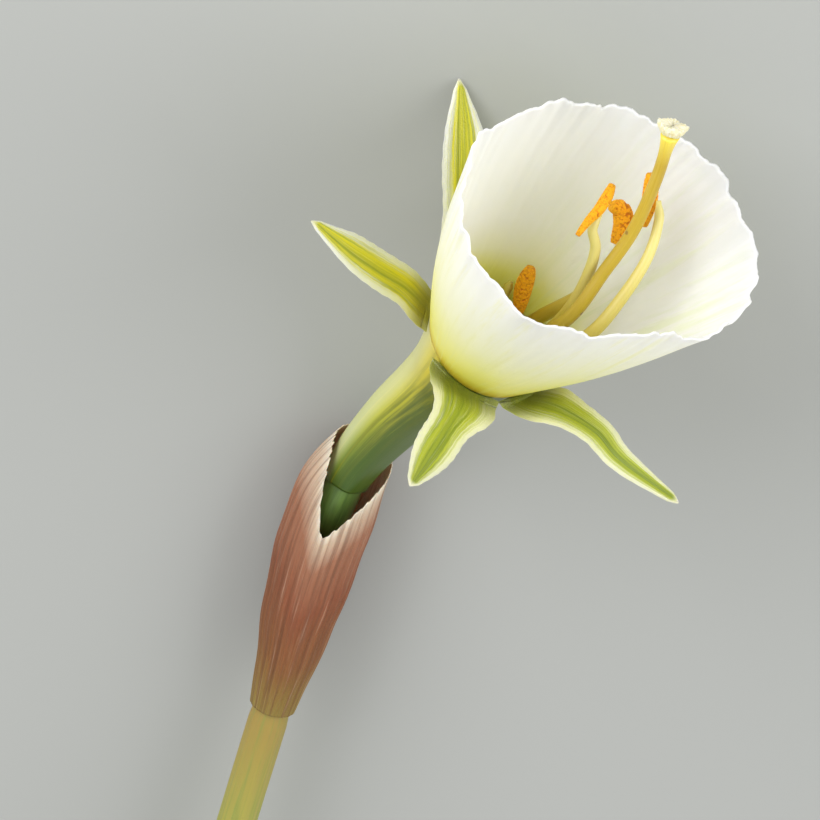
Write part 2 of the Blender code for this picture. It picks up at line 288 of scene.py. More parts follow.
# %% Colours
def ramp(finish, value, stops):
    """A colour for each place along value; stops are (place, (r, g, b)), and a short ramp eases."""
    node = add_node(finish.tree, "ShaderNodeValToRGB", {"Fac": value})
    node.color_ramp.interpolation = "LINEAR" if len(stops) > 3 else "EASE"
    while len(node.color_ramp.elements) < len(stops):
        node.color_ramp.elements.new(0.5)
    for element, (place, colour) in zip(node.color_ramp.elements, stops):
        element.position = place
        element.color = (*colour, 1.0)
    return node.outputs["Color"]


def calculate(finish, operation, *values):
    """The output of one Math node; each value is a number or another node's output."""
    node = add_node(finish.tree, "ShaderNodeMath", dict(enumerate(values)), operation=operation)
    return node.outputs["Value"]


MIX_BELOW, MIX_ABOVE, MIX_RESULT = 6, 7, 2  # a Mix node's colour sockets share their names with others


def mix(finish, mask, below, above, most=1.0):
    """below where mask is 0, going to above where mask is 1, and never more than most of it."""
    below, above = [(*colour, 1.0) if isinstance(colour, tuple) else colour for colour in (below, above)]
    values = {"Factor": calculate(finish, "MULTIPLY", mask, most), MIX_BELOW: below, MIX_ABOVE: above}
    return add_node(finish.tree, "ShaderNodeMix", values, data_type="RGBA").outputs[MIX_RESULT]


def layers(finish, colour, *laid):
    """Layers over a colour, one after another: each is (mask, colour, the most of it that is laid on)."""
    for mask, above, most in laid:
        colour = mix(finish, mask, colour, above, most)
    return colour


print("colour helpers: ramp, calculate, mix, layers")


# %% Masks
def attribute(finish, name, output="Fac"):
    """A value, or with output="Vector" a place, that the mesh itself carries."""
    return add_node(finish.tree, "ShaderNodeAttribute", attribute_name=name).outputs[output]


def window(finish, value, low, high):
    """0 below low, 1 above high, and a smooth step between; high under low turns it over."""
    node = add_node(finish.tree, "ShaderNodeMapRange", {
        "Value": value, "From Min": min(low, high), "From Max": max(low, high),
        "To Min": float(low > high), "To Max": float(low < high)}, interpolation_type="SMOOTHSTEP")
    return node.outputs["Result"]


def streak(finish, scale, low, high):
    """The shared streak mask: finer with a higher scale, and fewer with a higher low and high."""
    values = {"Grain": attribute(finish, "grain", "Vector"), "Scale": scale, "Low": low, "High": high}
    return add_node(finish.tree, "ShaderNodeGroup", values, node_tree=streaks).outputs["Mask"]


def frayed(finish, value, mask, share):
    """value + share * (mask - 1/2), which frays an edge where value crosses a limit."""
    return calculate(finish, "ADD", calculate(finish, "MULTIPLY_ADD", mask, share, -share / 2), value)


print("mask helpers: attribute, window, streak, frayed")


# %% The last move
def skin(finish, colour, scale, speckle, strength, depth=0.05):
    """Gives the shader its colour and a bump, depth mm high, from the shared skin grain."""
    values = {"Grain": attribute(finish, "grain", "Vector"), "Scale": scale, "Speckle": speckle}
    height = add_node(finish.tree, "ShaderNodeGroup", values, node_tree=grain).outputs["Height"]
    bump = add_node(finish.tree, "ShaderNodeBump", {
        "Height": height, "Strength": strength, "Distance": depth * MM})
    finish.tree.links.new(colour, finish.shader.inputs["Base Color"])
    finish.tree.links.new(bump.outputs["Normal"], finish.shader.inputs["Normal"])
    return finish.material


print("every finish ends with its skin")

# %% [markdown]
# ## Smooth curves
#
# Plants have no straight lines. A rim or a taper is given by a few measures, and a cubic fills in the rest.
# A Bezier curve object could do this too, but arrays go straight into a formula.


# %% Cubics, waves and unit vectors
def cubic(values, slope, k, h, x):
    """From values[k] at x = 0 to values[k + 1] at x = 1, over a step h, with the slopes at both."""
    rise = values[k + 1] - values[k]
    return (values[k] + x * h * slope[k] + x**2 * (3 * rise - h * (2 * slope[k] + slope[k + 1]))
            + x**3 * (h * (slope[k] + slope[k + 1]) - 2 * rise))


def smooth_round(table, angle):
    """A cubic round a full turn: rows of table are (degrees, value...), and angle is in radians."""
    table = np.asarray(table, float)
    degrees = np.concatenate([table[-2:, 0] - 360, table[:, 0], table[:2, 0] + 360])
    values = np.concatenate([table[-2:, 1:], table[:, 1:], table[:2, 1:]])
    turn = (np.degrees(angle) - table[0, 0]) % 360 + table[0, 0]
    k = np.searchsorted(degrees, turn, side="right") - 1
    h = (degrees[k + 1] - degrees[k])[:, None]
    return cubic(values, np.gradient(values, degrees, axis=0), k, h, (turn - degrees[k])[:, None] / h)


def waves(angle, *terms):
    """The sum of size * cos(count * angle + shift) over the terms (size, count, shift)."""
    return sum(size * np.cos(count * angle + shift) for size, count, shift in terms)


def unit(vectors):
    """The vectors, each at length 1."""
    return vectors / np.linalg.norm(vectors, axis=-1, keepdims=True)


print("halfway between radius 3 at 0 degrees and 5 at 180:",
      smooth_round(((0, 3), (90, 4), (180, 5), (270, 4)), np.array([np.pi / 2]))[0])

# %% [markdown]
# ## The corona
#
# The trumpet is one thin wall, nearly a cone, bowed halfway up and pleated towards the rim. It could be a
# Screw of one profile, but its radius and height wave with the angle. The rim's small teeth and nicks are
# real geometry, because they show against the table.

# %% The corona's measures
RING_RADIUS, CORONA_BELLY = 4.9, 0.7
RIM = (
    (-160, 11.5, 19.5), (-120, 12.3, 19.0), (-90, 12.0, 19.0), (-60, 10.7, 20.1), (-35, 9.8, 20.4),
    (-10, 10.9, 19.6), (20, 12.4, 20.0), (50, 12.0, 20.0), (90, 11.4, 19.6), (125, 10.7, 19.1),
    (165, 10.3, 19.2),
)  # degrees, radius and height of the rim
NICKS = (
    (-174, 0.45, 2.5), (127, 0.5, 1.8), (106, 0.35, 2.0), (66, 0.5, 3.0), (23, 0.55, 2.5),
    (9, 0.6, 2.0), (-35, -0.3, 3.0), (-62, 0.35, 2.0), (-147, 0.3, 2.5),
)  # degrees, depth and width in degrees
WALL_AT_RING, WALL_AT_RIM = 0.34, 0.16
SEAM = 0.02  # from the ring's plane to the corona's first ring, and to the tube's
print("rim radius from", min(row[1] for row in RIM), "to", max(row[1] for row in RIM), "mm")


# %% The corona's surface
def corona():
    """r(angle, t) = ring + (rim - ring) t + belly sin(pi t) + pleats t^1.5 + flare t^9, and
    z(angle, t) = rim height * t + (teeth - nicks) t^10, for t from 0 at the ring to 1 at the rim."""
    around, rows = 600, 82
    angle = full_turn(around)
    t = np.concatenate([[0, 0.002], np.linspace(0.012, 1, rows - 2)])[:, None]
    radius, height = smooth_round(RIM, angle).T
    waver = 1.3 * np.sin(3 * angle + 1.0) + 0.9 * np.sin(7 * angle + 2.0)
    pleats = waves(angle, (0.045, 23, 2 * waver), (0.035, 52, 3 * waver))
    flare = waves(angle, (0.17, 9, 0.7), (0.13, 14, 2.1), (0.05, 37, 0))
    teeth = waves(angle, (0.14, 13, 2 * waver), (0.035, 58, 4 * waver), (0.03, 97, 2 * waver),
                  (0.02, 143, 1))
    for degrees, depth, width in NICKS:
        away = (np.degrees(angle) - degrees + 180) % 360 - 180
        teeth = teeth - depth * np.exp(-((away / width) ** 2))
    r = RING_RADIUS + (radius - RING_RADIUS) * t + CORONA_BELLY * np.sin(np.pi * t)
    r = r + pleats * t**1.5 + flare * t**9
    z = SEAM + (height - SEAM) * t + teeth * t**10
    wall = WALL_AT_RING + (WALL_AT_RIM - WALL_AT_RING) * t

    def face(inset):
        return np.stack([(r - inset) * np.cos(angle), (r - inset) * np.sin(angle), z + 0 * r], axis=-1)

    return shell_of(face(0), face(wall), rise=t, grain=round_grain(angle, t, 7.0, 1.2),
                    low_side=np.cos(angle + math.radians(15)) * 0.5 + 0.5)


corona_shape = corona()
print("corona points:", len(corona_shape[0]))

# %% [markdown]
# ## Ivory tissue
#
# Inside, the corona is ivory with an olive throat and greenish veins. Outside it goes from gold through
# lemon to ivory. Two materials would need a border, so one mixes both looks by the attribute inside.

# %% The corona's finish
INSIDE_COLOURS = (
    (0.0, (0.58, 0.54, 0.06)), (0.10, (0.80, 0.78, 0.20)), (0.20, (0.93, 0.93, 0.58)),
    (0.36, (0.96, 0.96, 0.82)), (0.7, (0.95, 0.96, 0.84)), (1.0, (0.96, 0.97, 0.90)),
)
OUTSIDE_COLOURS = (
    (0.0, (0.45, 0.30, 0.01)), (0.04, (0.70, 0.52, 0.03)), (0.12, (0.90, 0.80, 0.13)),
    (0.28, (0.92, 0.89, 0.26)), (0.5, (0.91, 0.92, 0.48)), (0.75, (0.91, 0.94, 0.64)),
    (1.0, (0.95, 0.97, 0.85)),
)
GREEN_VEINS, LEMON_STREAKS, WHITE_RIM = (0.74, 0.83, 0.46), (0.84, 0.84, 0.30), (0.97, 0.97, 0.94)


def ivory_tissue():
    """Both faces' colours over a white rim, with green veins inside and lemon streaks outside."""
    finish = Finish("corona_ivory", 0.5, 0.9, (1.0, 0.98, 0.82), 1.5)
    rise = attribute(finish, "rise")
    veins = calculate(finish, "MULTIPLY", streak(finish, 1.0, 0.46, 0.66), attribute(finish, "low_side"))
    inner = mix(finish, veins, ramp(finish, rise, INSIDE_COLOURS), GREEN_VEINS, 0.8)
    lemon = streak(finish, 1.4, 0.5, 0.7)
    outer = mix(finish, lemon, ramp(finish, rise, OUTSIDE_COLOURS), LEMON_STREAKS, 0.5)
    colour = mix(finish, attribute(finish, "inside"), outer, inner)
    colour = mix(finish, window(finish, rise, 0.93, 1.0), colour, WHITE_RIM, 0.8)
    return skin(finish, colour, 2.4, 0.12, 0.30, 0.10)


piece("corona_skin", corona_shape, ivory_tissue())

# %% [markdown]
# ## Points along a line
#
# Tepals, stem and threads all follow a midline. A curve object would hold one, but these helpers also give
# even steps along it in millimetres, and a width that changes with the place.


# %% Midlines and tapers
def smooth(points, at):
    """The cubic through the points; at runs from 0 at the first to 1 at the last."""
    points = np.asarray(points, float)
    place = np.clip(at, 0, 1) * (len(points) - 1)
    k = np.minimum(place.astype(int), len(points) - 2)
    x = (place - k).reshape(place.shape + (1,) * (points.ndim - 1))
    return cubic(points, np.gradient(points, axis=0), k, 1, x)


def read_off(stops, along, rows):
    """The rows, known at each distance along, read off at the stops by straight lines between them."""
    return np.stack([np.interp(stops, along, rows[:, axis]) for axis in range(3)], axis=-1)


def even(points, count, start=0.0, end=None):
    """count points evenly spaced along the curve through points, from start to end mm along it."""
    fine = smooth(points, np.linspace(0, 1, 900))
    along = np.concatenate([[0], np.cumsum(np.linalg.norm(np.diff(fine, axis=0), axis=1))])
    stops = np.linspace(start, along[-1] if end is None else end, count)
    return read_off(stops, along, fine)


def profile(table, at):
    """The cubic through a taper's measures: rows of table are (place, value)."""
    places, values = np.asarray(table, float).T
    k = np.clip(np.searchsorted(places, at, side="right") - 1, 0, len(places) - 2)
    h = places[k + 1] - places[k]
    return cubic(values, np.gradient(values, places), k, h, np.clip((at - places[k]) / h, 0, 1))


print("even steps of 5 mm on a line 10 mm long:", even(((0, 0, 0), (0, 0, 5), (0, 0, 10)), 3)[:, 2].round(3))

# %% [markdown]
# ## The tepals
#
# Each tepal is a narrow fleshy blade. A plane with Solidify would look like cut paper, so a lens-shaped ring
# is carried along a midline: it wraps round the tube at its foot, and a shallow channel runs down it.

# %% The tepals' measures
FOOT = ((5.02, -0.26), (5.3, -0.2), (5.8, 0.02))  # radius and height where every tepal starts
WIDTHS_AT = (0.0, 0.13, 0.3, 0.7, 1.0)
TEPALS = (
    ((3.1, 3.0, 2.0, 1.5, 0.35), 0, -75,
     ((-73, 7.6, 0.9), (-76, 11.2, 2.0), (-78, 15.5, 3.3), (-79, 19.2, 4.5))),
    ((2.1, 2.5, 1.7, 1.0, 0.35), 20, -13,
     ((-10, 8.0, 2.2), (-11, 11.0, 4.2), (-13, 14.0, 5.2), (-8, 19.1, 5.9))),
    ((1.8, 2.0, 1.8, 1.8, 0.3), 0, 50,
     ((52, 8.6, 0.6), (57, 12.0, 0.6), (62, 15.4, 0.5), (66, 18.6, 0.2))),
    ((1.7, 1.9, 1.8, 1.8, 0.3), 0, 101,
     ((102, 8.6, 2.0), (104, 11.4, 4.2), (105, 14.2, 6.6), (106, 16.8, 8.8))),
    ((1.7, 1.9, 1.8, 1.9, 0.3), 0, 153,
     ((149, 8.4, 1.4), (147, 11.6, 3.4), (146, 15.0, 5.2), (146, 19.2, 7.0))),
    ((1.8, 2.0, 1.85, 1.7, 0.3), 0, -158,
     ((-155, 8.2, 1.6), (-150, 11.2, 3.3), (-148, 14.3, 4.9), (-149, 18.1, 6.3))),
)  # half widths, twist in degrees, azimuth of the foot, and the midline as (azimuth, radius, height)
TEPAL_THICKNESS, CHANNEL_DEPTH, RIB_HEIGHT = 0.42, 0.16, 0.03
TIP_PART, TWIST_PART, WRAP_PART = 0.05, 0.6, 0.4  # of the length
print("tepals:", len(TEPALS))


# %% The tepals' surface
def tepal(widths, twist, azimuth, blade, phase):
    """ring(s, a) = midline + side w(s) cos(a) + normal (thickness sin(a) + channel + ribs) - wrap.
    The channel lifts both margins, and a small wave along them keeps the edge from looking cut."""
    rows, around = 150, 64
    stops = np.array([(azimuth, radius, height) for radius, height in FOOT] + list(blade))
    turn = np.radians(stops[:, 0])
    stops = np.stack([stops[:, 1] * np.cos(turn), stops[:, 1] * np.sin(turn), stops[:, 2]], axis=1)
    path = even(stops, rows)
    along = np.linspace(0, 1, rows)
    half = profile(list(zip(WIDTHS_AT, widths)), along)
    half = half * np.sqrt(np.clip((1.0 - along) / TIP_PART, 0.03, 1))
    tangent = unit(np.gradient(path, axis=0))
    out = unit(path * (1, 1, 0))
    side = np.cross((0, 0, 1), out)
    side = unit(side - tangent * (side * tangent).sum(axis=1)[:, None])
    normal = np.cross(tangent, side)
    roll = np.radians(twist * np.clip(along / TWIST_PART, 0, 1))[:, None]
    side, normal = side * np.cos(roll) + normal * np.sin(roll), normal * np.cos(roll) - side * np.sin(roll)
    a = full_turn(around)
    across = np.sign(np.cos(a)) * np.abs(np.cos(a)) ** 0.85
    edge = 1 + 0.010 * np.sin(23 * along + phase) + 0.012 * np.sin(71 * along + 2 * phase)
    x = half[:, None] * edge[:, None] * across
    thick = np.minimum(TEPAL_THICKNESS, half)[:, None] / 2 * np.sin(a) * (1 - 0.55 * np.abs(across) ** 3)
    blade_part = np.clip((along - 0.15) / 0.2, 0, 1)[:, None]
    channel = CHANNEL_DEPTH * half[:, None] * blade_part * (np.abs(across) ** 1.5 - 0.4)
    ribs = RIB_HEIGHT * np.cos(across * 16) * blade_part * np.clip(half, 0, 1)[:, None]
    wrap = np.clip(1 - along / WRAP_PART, 0, 1)[:, None]
    inward = wrap * x**2 / (2 * np.hypot(path[:, 0], path[:, 1])[:, None])
    rings = (path[:, None] + side[:, None] * x[..., None] - out[:, None] * inward[..., None]
             + normal[:, None] * (thick + channel + ribs)[..., None])
    spread = np.broadcast_to(across, (rows, around))
    place = np.stack([spread * 9 + phase, np.sin(a) * 0.6 + 0 * spread, along[:, None] * 1.3 + 0 * spread],
                     axis=-1)
    return solid_of(rings, along=along[:, None], across=np.abs(spread), grain=place)


tepal_shapes = [tepal(*measures, phase=number * 1.7) for number, measures in enumerate(TEPALS, 1)]
print("points on each tepal:", len(tepal_shapes[0][0]))

# %% [markdown]
# ## Banded tissue
#
# A tepal has a bright band with darker lines down its middle, and pale margins. A pattern in space would cut
# across a curved blade, so the colours follow how far along and how far across a point lies, and a streak
# mask frays the border. The two front tepals are the greener ones.


# %% The tepals' finishes
def tepal_tissue(name, band, line, margin, foot):
    """A band with lines in it, then the margins, a pale streak here and there, the foot and the tip."""
    finish = Finish(name, 0.42, 0.45, (0.9, 1.0, 0.35), 0.6)
    along = attribute(finish, "along")
    across = frayed(finish, attribute(finish, "across"), streak(finish, 1.6, 0.3, 0.7), 0.30)
    inner = mix(finish, streak(finish, 0.8, 0.46, 0.60), band, line, 0.75)
    inner = mix(finish, window(finish, across, 0.30, 0.05), inner, line, 0.45)
    colour = mix(finish, window(finish, across, 0.80, 0.42), margin, inner)
    colour = layers(finish, colour, (streak(finish, 2.4, 0.50, 0.72), PALE_STREAKS, 0.22),
                    (window(finish, along, 0.26, 0.04), foot, 0.85),
                    (window(finish, along, 0.955, 0.995), PALE_TIP, 0.9))
    return skin(finish, colour, 4.0, 0.5, 0.7, 0.10)


PALE_STREAKS, PALE_TIP = (0.92, 0.92, 0.72), (0.88, 0.86, 0.62)
yellow_band = tepal_tissue("tepal_yellow_band", (0.76, 0.70, 0.02), (0.28, 0.34, 0.02),
                           (0.86, 0.87, 0.72), (0.34, 0.35, 0.05))
green_band = tepal_tissue("tepal_green_band", (0.42, 0.47, 0.03), (0.16, 0.23, 0.02),
                          (0.76, 0.77, 0.52), (0.17, 0.21, 0.02))
FRONT_TEPALS = (1, 2)
for number, shape in enumerate(tepal_shapes, 1):
    piece(f"tepal_{number}_skin", shape, green_band if number in FRONT_TEPALS else yellow_band)

# %% [markdown]
# ## Rings along the stalk
#
# Tube, ovary, stem and spathe all follow one line behind the ring. A curve with a bevel would draw them, but
# without ribs, lobes or a slit, so rings of any radius are carried along it, turning as little as they can.

# %% The stalk's line, and rings on it
STALK_LINE = (
    (0.0, 0.0, 0.0), (0.0, 0.0, -3.0), (-0.3, 0.7, -8.5), (-0.7, 0.9, -16.0), (-0.1, -0.5, -23.5),
    (2.9, -3.0, -31.0), (7.4, -6.2, -40.0), (12.0, -9.6, -49.5), (16.5, -12.8, -59.0),
    (21.0, -15.5, -70.0), (24.5, -17.0, -82.0), (27.0, -17.5, -94.0),
)


def frames(path):
    """Unit side and normal vectors along a path: each side vector is the last one with the part along the
    path taken out, so that the rings turn as little as they can."""
    tangent = unit(np.gradient(path, axis=0))
    side = np.empty_like(path)
    hint = np.array([1.0, 0.0, 0.0])
    for row, direction in enumerate(tangent):
        side[row] = hint = unit(hint - direction * (hint @ direction))
    return side, np.cross(tangent, side)


def ring_points(middle, side, normal, radius, angle):
    """middle + radius * (cos(angle) * side + sin(angle) * normal)"""
    return middle + radius[..., None] * (np.cos(angle)[:, None] * side + np.sin(angle)[:, None] * normal)


def rings_along(path, radius, around):
    """Rings of that radius round each point of the path; radius may change with the row and the angle."""
    side, normal = frames(path)
    radius = np.broadcast_to(radius, (len(path), around))
    return ring_points(path[:, None], side[:, None], normal[:, None], radius, full_turn(around))


def thread_of(path, radius, around, across_scale, along_scale):
    """A closed body round a path, which carries how far along it is and its grain."""
    along = np.linspace(0, 1, len(path))[:, None]
    place = round_grain(full_turn(around), along, across_scale, along_scale)
    return solid_of(rings_along(path, radius, around), along=along, grain=place)


stalk_steps = np.diff(smooth(STALK_LINE, np.linspace(0, 1, 900)), axis=0)
print("the stalk's line is", round(np.linalg.norm(stalk_steps, axis=1).sum(), 1), "mm long")

# %% [markdown]
# ## The tube
#
# Behind the corona the flower narrows to a pipe, yellow with green, with long yellow streaks that are partly
# painted highlight. A tapered cylinder would do from afar, but this wall has six shallow ribs and comes
# within a hair of the corona. Painted shade darkens one side over the tube's own green and painted light
# pales the other, so it carries values that peak on these sides.

# %% The tube's surface
TUBE_LENGTH, TUBE_WALL = 24.0, 0.5
TUBE_PROFILE = ((0.15, 4.9), (2.5, 4.3), (6.0, 3.5), (11.0, 2.9), (17.0, 2.5), (24.0, 2.0))


def perianth_tube():
    """radius(s, a) = profile(s) + 0.05 cos(6 a): a tapering pipe with six shallow ribs."""
    rows, around, steps = 130, 120, 600
    behind = np.concatenate([[SEAM, 0.05], np.linspace(0.2, TUBE_LENGTH, rows - 2)])
    line = even(STALK_LINE, steps, 0.0, TUBE_LENGTH)
    path = read_off(behind, np.linspace(0, TUBE_LENGTH, steps), line)
    angle = full_turn(around)
    radius = profile(TUBE_PROFILE, behind)[:, None] + 0.05 * np.cos(6 * angle) - 0.05
    along = (behind / TUBE_LENGTH)[:, None]
    return shell_of(rings_along(path, radius, around), rings_along(path, radius - TUBE_WALL, around),
                    along=along, grain=round_grain(angle, along, 5.0, 1.0),
                    # The first side value peaks where painted shade falls on the tube's own green, the
                    # second where painted light falls.
                    green_side=np.cos(angle - math.radians(35)) * 0.5 + 0.5,
                    pale_side=np.cos(angle - math.radians(175)) * 0.5 + 0.5)


tube_shape = perianth_tube()
print("tube radius at its two ends:", TUBE_PROFILE[0][1], TUBE_PROFILE[-1][1], "mm")

# %% The tube's finish
TUBE_COLOURS = (
    (0.0, (0.68, 0.55, 0.02)), (0.25, (0.64, 0.57, 0.02)), (0.6, (0.48, 0.48, 0.02)),
    (0.85, (0.20, 0.26, 0.02)), (1.0, (0.08, 0.14, 0.02)),
)
# Yellow streaks that are partly painted highlight; painted shade over the tube's own dark green; painted
# light.
YELLOW_STREAKS_AND_HIGHLIGHTS, SHADED_GREEN, LIT_PALE = (0.82, 0.68, 0.03), (0.04, 0.09, 0.005), (0.72, 0.75, 0.42)


def tube_skin():
    """Yellow going to green towards the ovary, with long streaks that are partly painted highlight, a dark
    green side that is painted shade over its own green, and a pale side that is painted light.
    """
    finish = Finish("tube_yellow_green", 0.38, 0.2, (0.9, 1.0, 0.3), 0.7, coat=0.1)
    # Painted shade on one side and painted light on the other, over streaks that are partly painted
    # highlight.
    green = frayed(finish, attribute(finish, "green_side"), streak(finish, 2.0, 0.3, 0.7), 0.2)
    colour = layers(finish, ramp(finish, attribute(finish, "along"), TUBE_COLOURS),
                    (streak(finish, 1.0, 0.5, 0.7), YELLOW_STREAKS_AND_HIGHLIGHTS, 0.6),
                    (window(finish, green, 0.45, 0.92), SHADED_GREEN, 0.92),
                    (window(finish, attribute(finish, "pale_side"), 0.70, 0.95), LIT_PALE, 0.65))
    return skin(finish, colour, 3.0, 0.2, 0.25)


piece("perianth_tube_skin", tube_shape, tube_skin())

# %% [markdown]
# ## The ovary
#
# The small green capsule under the tube has three lobes. A stretched sphere would be round, so it is a body
# of rings whose radius swells and falls, with a cosine of three times the angle.

# %% The ovary
GAP = 0.3
OVARY_LENGTH, OVARY_RADIUS = 6.5, 1.75


def ovary():
    """radius(s, a) = R sin(s)^0.6 (0.97 + 0.05 cos(3 a)): a capsule with three lobes."""
    rows, around = 60, 72
    turn = np.linspace(0.34, 0.93, rows) * np.pi
    path = even(STALK_LINE, rows, TUBE_LENGTH + 0.03, TUBE_LENGTH + GAP + OVARY_LENGTH)
    angle = full_turn(around)
    radius = OVARY_RADIUS * 0.97 * np.sin(turn)[:, None] ** 0.6 * (0.97 + 0.05 * np.cos(3 * angle))
    return solid_of(rings_along(path, radius, around), grain=round_grain(angle, turn[:, None], 4.0, 0.6))


def ovary_skin():
    """Mid green with darker streaks."""
    finish = Finish("ovary_green", 0.4, 0.25, (0.7, 1.0, 0.3), 0.8, coat=0.1)
    colour = mix(finish, streak(finish, 1.2, 0.4, 0.7), (0.14, 0.24, 0.05), (0.08, 0.15, 0.03))
    return skin(finish, colour, 3.0, 0.25, 0.25)


piece("ovary_skin", ovary(), ovary_skin())

# %% [markdown]
# ## The scape
#
# The stem swells from a thin pedicel and is cut off square. A plain cylinder would look like wire, so it has
# low ridges that wind a little. Smaller and smaller rings keep the cut's edge crisp.

# %% The scape's surface
SCAPE_RADIUS, PEDICEL_RADIUS, SCAPE_TOP, SCAPE_END, SWELL_LENGTH = 1.7, 0.8, 46.0, 99.0, 6.0


def scape():
    """radius(s, a) = pedicel, swelling to the stem by a smooth step, times low ridges; then the cut."""
    rows, around, cut_rows = 260, 64, 7
    start = TUBE_LENGTH + OVARY_LENGTH + 2 * GAP
    behind = np.linspace(start, SCAPE_END, rows)
    path = even(STALK_LINE, rows, start, SCAPE_END)
    swell = np.clip((behind - SCAPE_TOP) / SWELL_LENGTH + 0.5, 0, 1)
    swell = swell * swell * (3 - 2 * swell)
    radius = PEDICEL_RADIUS + (SCAPE_RADIUS - PEDICEL_RADIUS) * swell
    angle = full_turn(around)
    ridges = 0.985 + 0.015 * np.cos(12 * angle + 0.3 * np.sin(behind / 6)[:, None])
    rings = rings_along(path, radius[:, None] * ridges, around)
    inset = 1 - 0.12 * np.arange(1, cut_rows + 1)[:, None, None]
    cut = path[-1] + (rings[-1] - path[-1])[None] * inset
    rings = np.concatenate([rings, cut])
    along = np.concatenate([(behind - start) / (SCAPE_END - start), np.ones(cut_rows)])[:, None]
    face = np.concatenate([np.zeros(rows), np.ones(cut_rows)])[:, None]
    return solid_of(rings, along=along, cut=face, grain=round_grain(angle, along, 3.0, 4.0))


scape_shape = scape()
print("scape from", SCAPE_TOP, "to", SCAPE_END, "mm behind the ring")

# %% The scape's finish
SCAPE_COLOURS = (
    (0.0, (0.22, 0.13, 0.04)), (0.26, (0.34, 0.24, 0.05)), (0.42, (0.36, 0.34, 0.06)),
    (0.7, (0.28, 0.34, 0.06)), (1.0, (0.24, 0.34, 0.08)),
)
DARK_GREEN, CUT_FACE = (0.17, 0.25, 0.05), (0.55, 0.62, 0.34)


def scape_skin():
    """Olive, redder where the spathe hugs it, streaked along its length, and pale on the cut."""
    finish = Finish("scape_olive", 0.42, 0.25, (0.8, 1.0, 0.3), 0.8, coat=0.12)
    colour = layers(finish, ramp(finish, attribute(finish, "along"), SCAPE_COLOURS),
                    (streak(finish, 1.4, 0.45, 0.7), DARK_GREEN, 0.6),
                    (attribute(finish, "cut"), CUT_FACE, 0.9))
    return skin(finish, colour, 3.5, 0.3, 0.3)


piece("scape_skin", scape_shape, scape_skin())

# %% [markdown]
# ## The spathe
#
# A dry papery sheath wraps stem, ovary and tube. Draped cloth would fold at random, so it is a thin wall on
# the stalk's line: its mouth draws in and drops to a slit, and lengthwise wrinkles fade at both ends.

# %% The spathe's surface
SPATHE_BASE, SPATHE_TOP = 47.0, 20.5
SPATHE_PROFILE = ((20.5, 3.3), (26.0, 3.7), (33.0, 3.6), (39.0, 3.1), (43.5, 2.5), (47.0, 2.1))
SLIT_AT, SLIT_DEPTH, SLIT_WIDTHS = 75.0, 7.5, (50.0, 30.0)  # degrees, mm, degrees before and after
SPATHE_WALL, MOUTH_WALL, WRINKLE_ROOM = 0.22, 0.10, 0.15
DRAWN_IN, DRAWN_FROM = 0.45, 28.0  # how much narrower the mouth is, and how far behind the ring that starts


def spathe():
    """radius(s, a) = profile(s) + wrinkles, on the stalk's line from the scape up to a mouth that drops by
    SLIT_DEPTH at the slit. reach is how far round from the slit an angle lies, in widths of the slit."""
    rows, around, steps = 150, 200, 300
    degrees = np.linspace(0, 360, around, endpoint=False)
    angle = np.radians(degrees)
    off = (degrees - SLIT_AT + 180) % 360 - 180
    ragged = waves(angle, (0.10, 31, 0), (0.08, 53, 1))
    reach = np.abs(off) / np.where(off < 0, *SLIT_WIDTHS)
    mouth = SPATHE_TOP + 0.25 + SLIT_DEPTH * np.exp(-(reach**1.4)) + ragged
    t = np.linspace(0, 1, rows)[:, None]
    behind = SPATHE_BASE + (mouth - SPATHE_BASE) * t
    wrinkles = waves(angle, (0.07, 17, 1.5 * np.sin(behind / 5)), (0.05, 41, behind / 3))
    wrinkles = wrinkles + 0.06 * np.sin(behind * 0.9 + 2 * np.cos(angle))
    fade = np.sin(np.pi * np.clip(t * 0.9 + 0.08, 0, 1))
    radius = profile(SPATHE_PROFILE, behind) - WRINKLE_ROOM + wrinkles * fade
    radius = radius - DRAWN_IN * np.clip((DRAWN_FROM - behind) / (DRAWN_FROM - SPATHE_TOP), 0, 1) ** 2
    line = even(STALK_LINE, steps, 0.0, SPATHE_BASE + 1.0)
    side, normal = frames(line)
    places = np.linspace(0, SPATHE_BASE + 1.0, steps)
    at, s, n = [read_off(behind, places, field) for field in (line, side, normal)]
    wall = SPATHE_WALL + (MOUTH_WALL - SPATHE_WALL) * t
    outer, inner = [ring_points(at, s, n, r, angle) for r in (radius, radius - wall)]
    return shell_of(outer, inner, rise=t, grain=round_grain(angle, t, 6.0, 0.8))


spathe_shape = spathe()
print("spathe from", SPATHE_TOP, "to", SPATHE_BASE, "mm behind the ring")

# %% The spathe's finish
PAPER_COLOURS = (
    (0.0, (0.25, 0.18, 0.03)), (0.25, (0.22, 0.085, 0.02)), (0.55, (0.24, 0.07, 0.025)),
    (0.80, (0.33, 0.14, 0.075)), (0.95, (0.58, 0.44, 0.32)), (1.0, (0.74, 0.66, 0.54)),
)
DARK_FIBRES, PALE_FIBRES = (0.14, 0.05, 0.02), (0.56, 0.38, 0.27)
LINING, LINING_FIBRES = (0.66, 0.56, 0.42), (0.50, 0.38, 0.26)


